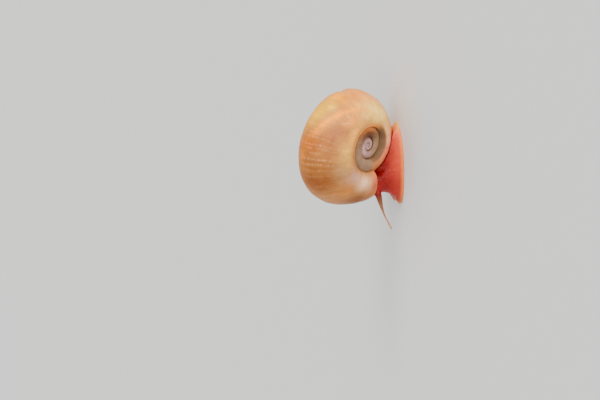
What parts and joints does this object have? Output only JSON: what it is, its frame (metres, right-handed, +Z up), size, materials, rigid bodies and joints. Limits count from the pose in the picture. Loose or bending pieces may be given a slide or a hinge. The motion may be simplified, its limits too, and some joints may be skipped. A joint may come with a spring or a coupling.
{
  "type": "ramshorn snail",
  "caption": "Still model of a ramshorn snail at life size, crawling, with a flat-coiled shell leaning to its left and a long thin tentacle on each side of the head.",
  "frame": {"origin": "on the floor under the middle of the animal's box, with the sole of the foot at z = 0", "axes": "-Y is the way the head looks, +X the animal's left and +Z up"},
  "size_m": [0.0152, 0.0236, 0.0175],
  "materials": {
    "shell": "satin horn, warm orange with yellow and tan bands, fine growth lines and a lilac grey pit",
    "flesh": "moist red skin with fine pale specks, salmon toward the foot's rim, translucent at the tentacles",
    "eye": "black, wet gloss"
  },
  "bodies": {
    "root": {"shell": "shell", "mantle": "flesh", "neck": "flesh", "head": "flesh", "foot": "flesh", "tail": "flesh", "tentacle_left_base": "flesh", "tentacle_left_tip": "flesh", "tentacle_right_base": "flesh", "tentacle_right_tip": "flesh", "eye_left": "eye", "eye_right": "eye"}
  },
  "joints": []
}
